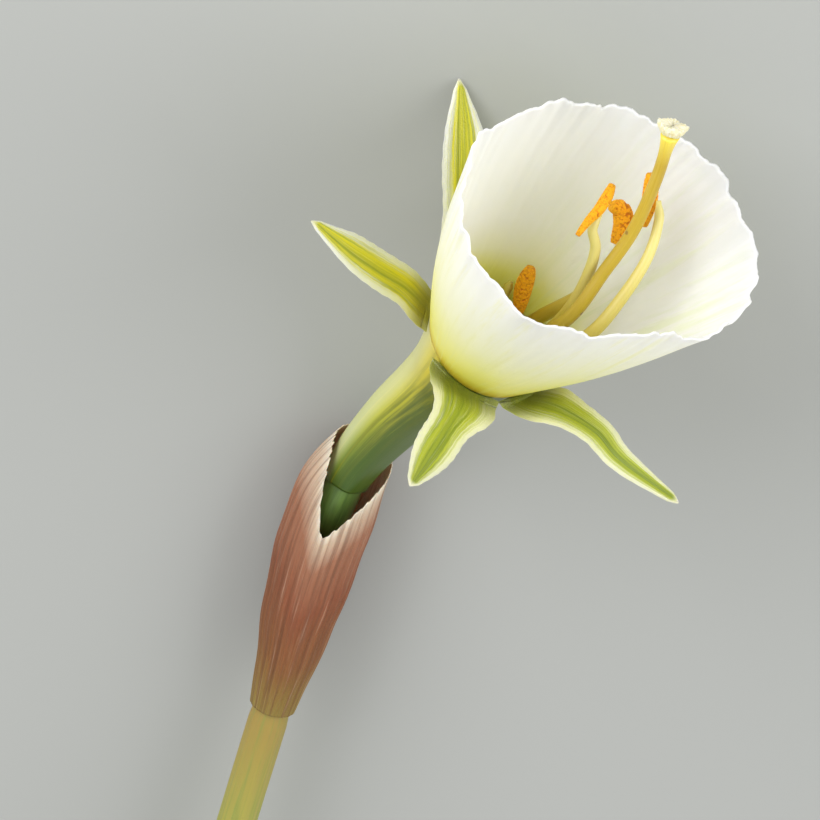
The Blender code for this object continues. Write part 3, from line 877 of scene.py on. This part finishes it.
def dry_paper():
    """Pinkish brown with fine lengthwise fibres, bleached at the mouth, and a paler lining."""
    finish = Finish("spathe_papery", 0.62, 0.3, (1.0, 0.5, 0.3), 0.4)
    lining = mix(finish, streak(finish, 3.1, 0.4, 0.7), LINING, LINING_FIBRES)
    colour = layers(finish, ramp(finish, attribute(finish, "rise"), PAPER_COLOURS),
                    (streak(finish, 1.6, 0.42, 0.66), DARK_FIBRES, 0.6),
                    (streak(finish, 3.1, 0.55, 0.75), PALE_FIBRES, 0.4),
                    (attribute(finish, "inside"), lining, 1))
    return skin(finish, colour, 4.0, 0.4, 0.6, 0.12)


piece("spathe_skin", spathe_shape, dry_paper())

# %% [markdown]
# ## Filaments
#
# A filament is a smooth thread from the tube's wall to the back of its anther. It could be a curve with a
# bevel, but it has to meet its anther exactly, so its last point is worked out from the anther's midline.

# %% The stamens' measures
FILAMENT_RADII, FILAMENT_SEAT = (0.5, 0.55, 0.36), 9.0
SEAT_WALL, TIP_GAP = 0.6, 0.05
FILAMENTS = (
    (-30, ((2.6, -1.5, -2.0), (4.2, -1.9, 5.0), (5.1, -1.1, 10.5), (4.8, 1.3, 13.3),
           (4.0, 3.8, 15.6), (2.7, 5.7, 17.1))),
    (30, ((2.2, 1.0, -2.0), (2.8, 0.8, 4.0), (2.7, 1.0, 8.4), (1.9, 1.8, 11.4),
          (0.8, 2.2, 13.9), (-0.4, 2.2, 15.2))),
    (90, ((0.8, 2.6, -2.0), (1.6, 3.1, 3.0), (2.6, 3.9, 8.2), (2.0, 6.0, 12.2))),
    (150, ((-1.5, 2.2, -3.0), (-1.5, 2.5, 1.5))),
    (210, ((-2.1, -0.8, -3.0), (-2.5, -1.4, 1.5))),
    (270, ((0.2, -2.0, -3.0), (0.4, -2.8, 1.5))),
)  # azimuth on the tube's wall, and the points that the thread passes
ANTHERS = (
    (((-0.3, 7.2, 18.6), (0.9, 6.7, 17.3), (2.1, 5.6, 15.7)), 0.6),
    (((-1.7, 4.6, 17.5), (-1.1, 2.6, 16.8), (-0.9, 0.4, 15.5)), 0.45),
    (((-1.0, 5.6, 15.2), (0.8, 6.3, 14.8), (1.7, 4.5, 13.1)), 0.8),
    (((-1.6, 3.6, 5.6), (-0.9, 3.1, 3.9), (0.2, 2.3, 2.4)), 0.7),
    (((-3.4, -1.6, 6.2), (-2.9, -1.9, 4.0), (-2.0, -2.4, 2.2)), 0.7),
    (((1.4, -3.0, 6.4), (0.7, -3.5, 4.2), (-0.4, -3.5, 2.4)), 0.7),
)  # midline from end to end, and greatest radius
print("stamens:", len(ANTHERS))


# %% The filaments
def filament(azimuth, points, anther_line, anther_radius):
    """A thread of radius smooth(foot, throat, tip) from the tube's wall to the middle of its anther."""
    rows, around = 90, 28
    seat = even(STALK_LINE, 2, FILAMENT_SEAT, FILAMENT_SEAT + 1)[0]
    wall = np.interp(FILAMENT_SEAT, *zip(*TUBE_PROFILE)) - SEAT_WALL - GAP - FILAMENT_RADII[0]
    turn = math.radians(azimuth)
    start = seat + wall * np.array([math.cos(turn), math.sin(turn), 0.0])
    lengthwise = unit(np.subtract(anther_line[2], anther_line[0]))
    outward = np.subtract(points[-1], anther_line[1])
    outward = unit(outward - lengthwise * (outward @ lengthwise))
    tip = anther_line[1] + outward * (anther_radius + TIP_GAP + FILAMENT_RADII[2])
    path = even([start, *points, tip], rows)
    along = np.linspace(0, 1, rows)
    radius = smooth(FILAMENT_RADII, along) * np.clip((1 - along) / 0.03, 0.3, 1) ** 0.5
    return thread_of(path, radius[:, None], around, 2.0, 1.2)


def thread(name, foot, tip):
    """Deeper at the foot and paler towards the tip, with soft lengthwise streaks."""
    finish = Finish(name, 0.4, 0.35, (1.0, 0.9, 0.3), 0.7, coat=0.1)
    colour = ramp(finish, attribute(finish, "along"), ((0.0, foot), (0.45, foot), (1.0, tip)))
    colour = mix(finish, streak(finish, 1.6, 0.5, 0.75), colour, tip, 0.5)
    return skin(finish, colour, 3.0, 0.2, 0.2)


long_thread = thread("filament_mustard", (0.52, 0.39, 0.03), (0.70, 0.62, 0.22))
short_thread = thread("filament_low", (0.50, 0.42, 0.04), (0.56, 0.48, 0.08))
LONG_ONES = (1, 2, 3)
for number, ((azimuth, points), (line, radius)) in enumerate(zip(FILAMENTS, ANTHERS), 1):
    threads = long_thread if number in LONG_ONES else short_thread
    piece(f"filament_{number}_skin", filament(azimuth, points, line, radius), threads)

# %% [markdown]
# ## Anthers
#
# An anther is a small sausage packed with pollen. A bump map would leave its outline smooth, so the surface
# itself is covered with little domes. The two that are seen best get finer midlines.

# %% The anthers' shape
FINER_ANTHERS = {
    2: (((-1.7, 4.6, 17.5), (-1.35, 3.6, 17.25), (-1.1, 2.5, 16.8), (-1.05, 1.5, 16.2),
         (-0.85, 0.4, 15.5)), 0.47, 0.45),
    3: (((-0.65, 5.4, 15.0), (0.1, 5.95, 14.85), (1.0, 5.6, 14.2), (1.6, 4.65, 13.15)), 0.78, 0.1),
}  # midline, radius, and how far it slims towards its last point
POLLEN_GRAINS, GRAIN_RADIUS, GRAIN_RISE = 650, 0.14, 0.7
CORE = 0.93  # of the anther's radius, under the grains


def anther(line, radius, slim, seed):
    """radius(s, a) = sausage + grains: each grain is a low dome of sqrt(g^2 - d^2) about a random place
    on the surface, where d is the distance to it, and the highest dome at each point counts."""
    rows, around = 120, 90
    turn = np.linspace(0.06, 0.94, rows) * np.pi
    path = even(line, rows)
    angle = full_turn(around)
    groove = 1 - 0.10 * np.exp(-(((angle - np.pi) / 0.35) ** 2))
    taper = 1 - slim * np.clip(np.linspace(-0.3, 1.3, rows), 0, 1)[:, None]
    rings = rings_along(path, radius * CORE * taper * np.sin(turn)[:, None] ** 0.5 * groove, around)
    pick = np.random.default_rng(seed)
    seeds = rings[pick.integers(0, rows, POLLEN_GRAINS), pick.integers(0, around, POLLEN_GRAINS)]
    flat = rings.reshape(-1, 3)
    apart = np.sqrt(((flat[:, None] - seeds[None]) ** 2).sum(axis=2)).min(axis=1).reshape(rows, around)
    dome = np.sqrt(np.clip(GRAIN_RADIUS**2 - apart**2, 0, None)) * GRAIN_RISE
    return solid_of(rings + unit(rings - path[:, None]) * dome[..., None], dome=dome / GRAIN_RADIUS,
                    grain=round_grain(angle, turn[:, None], 2.0, 1.0))


print("pollen grains on each anther:", POLLEN_GRAINS)


# %% The pollen
def pollen_finish():
    """Orange, darkened between the grains by painted shade and brighter on their crowns,
    with a fine mottle of browner dust.
    """
    finish = Finish("pollen_orange", 0.8, 0.2, (1.0, 0.5, 0.1), 0.3)
    # Painted shade: the colour darkens with the height of the grains, down to the gaps between them.
    colour = ramp(finish, attribute(finish, "dome"), POLLEN_AND_GAP_SHADE)
    coords = add_node(finish.tree, "ShaderNodeTexCoord").outputs["Object"]
    dust = add_node(finish.tree, "ShaderNodeTexNoise", {
        "Vector": coords, "Scale": 5200.0, "Detail": 2.0, "Roughness": 0.6})
    colour = mix(finish, window(finish, dust.outputs["Fac"], 0.50, 0.62), colour, BROWN_DUST, 0.6)
    return skin(finish, colour, 6.0, 1.0, 0.9, 0.10)


# From painted shade in the gaps between the grains up to the pollen's own orange on their crowns.
POLLEN_AND_GAP_SHADE = ((0.0, (0.60, 0.18, 0.0)), (0.25, (0.85, 0.31, 0.0)), (0.6, (0.98, 0.44, 0.0)))
BROWN_DUST = (0.66, 0.23, 0.0)
pollen = pollen_finish()
for number, (line, radius) in enumerate(ANTHERS, 1):
    line, radius, slim = FINER_ANTHERS.get(number, (line, radius, 0.1))
    piece(f"anther_{number}_skin", anther(line, radius, slim, number), pollen)

# %% [markdown]
# ## The style
#
# The style starts deep in the tube and carries the stigma past the rim. It could be a plain cylinder, but
# this one is a little uneven and flares under its cap. Its dark specks lie at random points in space.

# %% The style
STYLE_RADIUS, STYLE_TAPER, STYLE_FLARE, FLARE_PART = 0.54, (0.95, 1.0, 1.0, 0.94, 0.86), 0.26, 0.04
STYLE_LINE = ((0.6, 0.1, -4.0), (2.2, -0.7, 3.0), (3.1, -0.6, 9.5), (2.5, 1.8, 13.2), (1.8, 3.8, 16.5),
              (0.3, 5.2, 20.7), (-1.3, 5.8, 24.4))


def style():
    """A round thread along the tube's line and out past the rim, a touch wider at its end."""
    rows, around = 220, 40
    low = even(STALK_LINE, 4, TUBE_LENGTH - 1.0, 8.0)
    path = even([*low, *STYLE_LINE], rows)
    along = np.linspace(0, 1, rows)
    flare = STYLE_FLARE * np.clip(1 - (1 - along) / FLARE_PART, 0, 1) ** 2
    radius = STYLE_RADIUS * smooth(STYLE_TAPER, along) + flare
    lumps = 1 + 0.02 * np.sin(37 * along[:, None] + 2 * np.cos(full_turn(around)))
    return thread_of(path, radius[:, None] * lumps, around, 2.0, 3.0)


style_shape = style()
print("style points:", len(style_shape[0]))


# %% The style's finish
def mustard():
    """Olive mustard, yellow under the cap, with paler streaks and a few tiny dark specks."""
    finish = Finish("style_mustard", 0.36, 0.35, (1.0, 0.85, 0.25), 0.8, coat=0.15)
    colour = ramp(finish, attribute(finish, "along"), STYLE_COLOURS)
    colour = mix(finish, streak(finish, 1.4, 0.5, 0.72), colour, (0.64, 0.48, 0.08), 0.45)
    coords = add_node(finish.tree, "ShaderNodeTexCoord").outputs["Object"]
    spots = add_node(finish.tree, "ShaderNodeTexVoronoi", {"Vector": coords, "Scale": 420.0})
    colour = mix(finish, window(finish, spots.outputs["Distance"], 0.09, 0.05), colour, DARK_SPECKS, 0.8)
    return skin(finish, colour, 3.0, 0.2, 0.2)


STYLE_COLOURS = (
    (0.0, (0.42, 0.34, 0.03)), (0.5, (0.46, 0.34, 0.02)), (0.95, (0.50, 0.34, 0.02)),
    (1.0, (0.92, 0.76, 0.10)),
)
DARK_SPECKS = (0.20, 0.10, 0.02)
piece("style_skin", style_shape, mustard())

# %% [markdown]
# ## The stigma
#
# The cap on the style is a low ragged cushion with a dip in its top. A sphere would look like a bead, so
# rings rise up a side wall and run in over the top, and the whole cap is tipped.

# %% The stigma
STIGMA_RADIUS = 1.12
STIGMA_WAY = (-0.449, 0.350, 0.821)


def stigma():
    """radius(s, a) = R (1 + lobes + fringe) up a low side wall, then in over a dipping top."""
    rows, around = 60, 140
    along = np.linspace(0, 1, rows)[:, None]
    angle = full_turn(around)
    wall = np.clip(along / 0.55, 0, 1)
    inward = np.clip((along - 0.55) / 0.45, 0, 1)
    fringe = waves(angle, (0.05, 5, 1), (0.03, 11, 9 * along), (0.03, 19, 2), (0.02, 31, -14 * along))
    radius = STIGMA_RADIUS * (0.74 + 0.26 * np.sin(wall * 1.9)) * (0.98 + 0.05 * np.cos(3 * angle) + fringe)
    radius = radius * (1 - 0.94 * inward)
    lumps = waves(angle, (0.05 * (1 - inward), 4, 2), (0.035, 9, 8 * along), (0.03, 23, 18 * along))
    height = 0.06 + 0.78 * wall - 0.10 * inward + wall * lumps
    way = np.array(STIGMA_WAY)
    across = unit(np.cross(way, (0, 0, 1.0)))
    onward = np.cross(way, across)
    middle = np.array(STYLE_LINE[-1]) + 0.10 * way
    rings = ring_points(middle + height[..., None] * way, across, onward, radius, angle)
    return solid_of(rings, grain=round_grain(angle, along, 3.0, 1.0))


def cream():
    """Cream with paler lumps."""
    finish = Finish("stigma_cream", 0.6, 0.4, (1.0, 0.9, 0.6), 0.5)
    colour = mix(finish, streak(finish, 2.5, 0.4, 0.65), (0.88, 0.80, 0.50), (0.95, 0.92, 0.74))
    return skin(finish, colour, 6.0, 0.8, 0.8, 0.12)


piece("stigma_skin", stigma(), cream())

# %% [markdown]
# ## The table
#
# The picked flower lies on a pale table top. A curved backdrop would be needed if the camera saw the
# horizon, but it looks down, so one flat square is enough.

# %% The table
TABLE_HALF = 2.0  # metres
TABLE_GREY = (0.40, 0.41, 0.40, 1)
corners = [(-TABLE_HALF, -TABLE_HALF, 0), (TABLE_HALF, -TABLE_HALF, 0), (TABLE_HALF, TABLE_HALF, 0),
           (-TABLE_HALF, TABLE_HALF, 0)]
table = add_object("table_top", bpy.data.meshes.new("table_top"))
table.data.from_pydata(corners, [], [(0, 1, 2, 3)])
table_finish = bpy.data.materials.new("table_pale")
table_finish.use_nodes = True
table_finish.node_tree.nodes["Principled BSDF"].inputs["Base Color"].default_value = TABLE_GREY
table_finish.node_tree.nodes["Principled BSDF"].inputs["Roughness"].default_value = 0.8
table.data.materials.append(table_finish)
print("table half side in metres:", TABLE_HALF)

# %% [markdown]
# ## The camera
#
# The camera looks 39 degrees off the corona's axis, the view from which such a flower is best known. A Track
# To constraint could aim it, but its place is easier to state in the flower's own frame.

# %% The camera
VIEW_TILT, VIEW_TURN = math.radians(39.0), math.radians(44.5)  # off the corona's axis, and about the view
VIEW_FROM = np.array([-5.85, -5.31, 343.0])  # right, up and back from the throat ring, in mm
LENS = 195.75
opening = np.array([math.sin(VIEW_TILT) * math.cos(VIEW_TURN), math.sin(VIEW_TILT) * math.sin(VIEW_TURN),
                    math.cos(VIEW_TILT)])
sideways = np.array([math.sin(VIEW_TURN), -math.cos(VIEW_TURN), 0.0])
flower_in_view = np.stack([sideways, np.cross(opening, sideways), opening], axis=1)
view_in_world = turn_down @ flower_in_view.T
camera = add_object("camera", bpy.data.cameras.new("camera"))
camera.data.lens = LENS
camera.data.clip_start = 0.01
place = view_in_world @ VIEW_FROM + LIE_AT
camera.matrix_world = Matrix.Translation(place * MM) @ Matrix(view_in_world.tolist()).to_4x4()
bpy.context.scene.camera = camera
print("camera looks down by", round(math.degrees(math.asin(view_in_world[2, 2])), 1), "degrees")

# %% [markdown]
# ## The lights
#
# Daylight on a flower is soft, and a sun lamp would throw hard shadows into the corona. So a large square
# light stands at the upper left of the view, another at the right, and a pale world does the rest.


# %% The lights
def soft_light(name, direction, distance, size, power):
    """A square light in the direction given as (right, up, back) of the view, aimed at the flower."""
    light = add_object(name, bpy.data.lights.new(name, "AREA"))
    light.data.size = size
    light.data.energy = power
    way = view_in_world @ unit(np.array(direction))
    aim = np.array([0.0, 30.0, 12.0]) * MM
    light.location = aim + way * distance
    light.rotation_euler = Vector(way).to_track_quat("Z", "Y").to_euler()
    print(f"{name} light: {power} W, {size} m wide, {distance} m away")


soft_light("key", (-0.55, 0.35, 0.75), 0.5, 0.35, 1.8)
soft_light("fill", (0.75, -0.1, 0.65), 0.6, 0.45, 2.1)
WORLD_COLOUR, WORLD_STRENGTH = (1.0, 1.0, 0.97, 1), 0.72
world = bpy.data.worlds.new("studio")
world.use_nodes = True
world.node_tree.nodes["Background"].inputs["Color"].default_value = WORLD_COLOUR
world.node_tree.nodes["Background"].inputs["Strength"].default_value = WORLD_STRENGTH
bpy.context.scene.world = world
bpy.context.scene.view_settings.view_transform = "Standard"
print("world strength:", WORLD_STRENGTH)
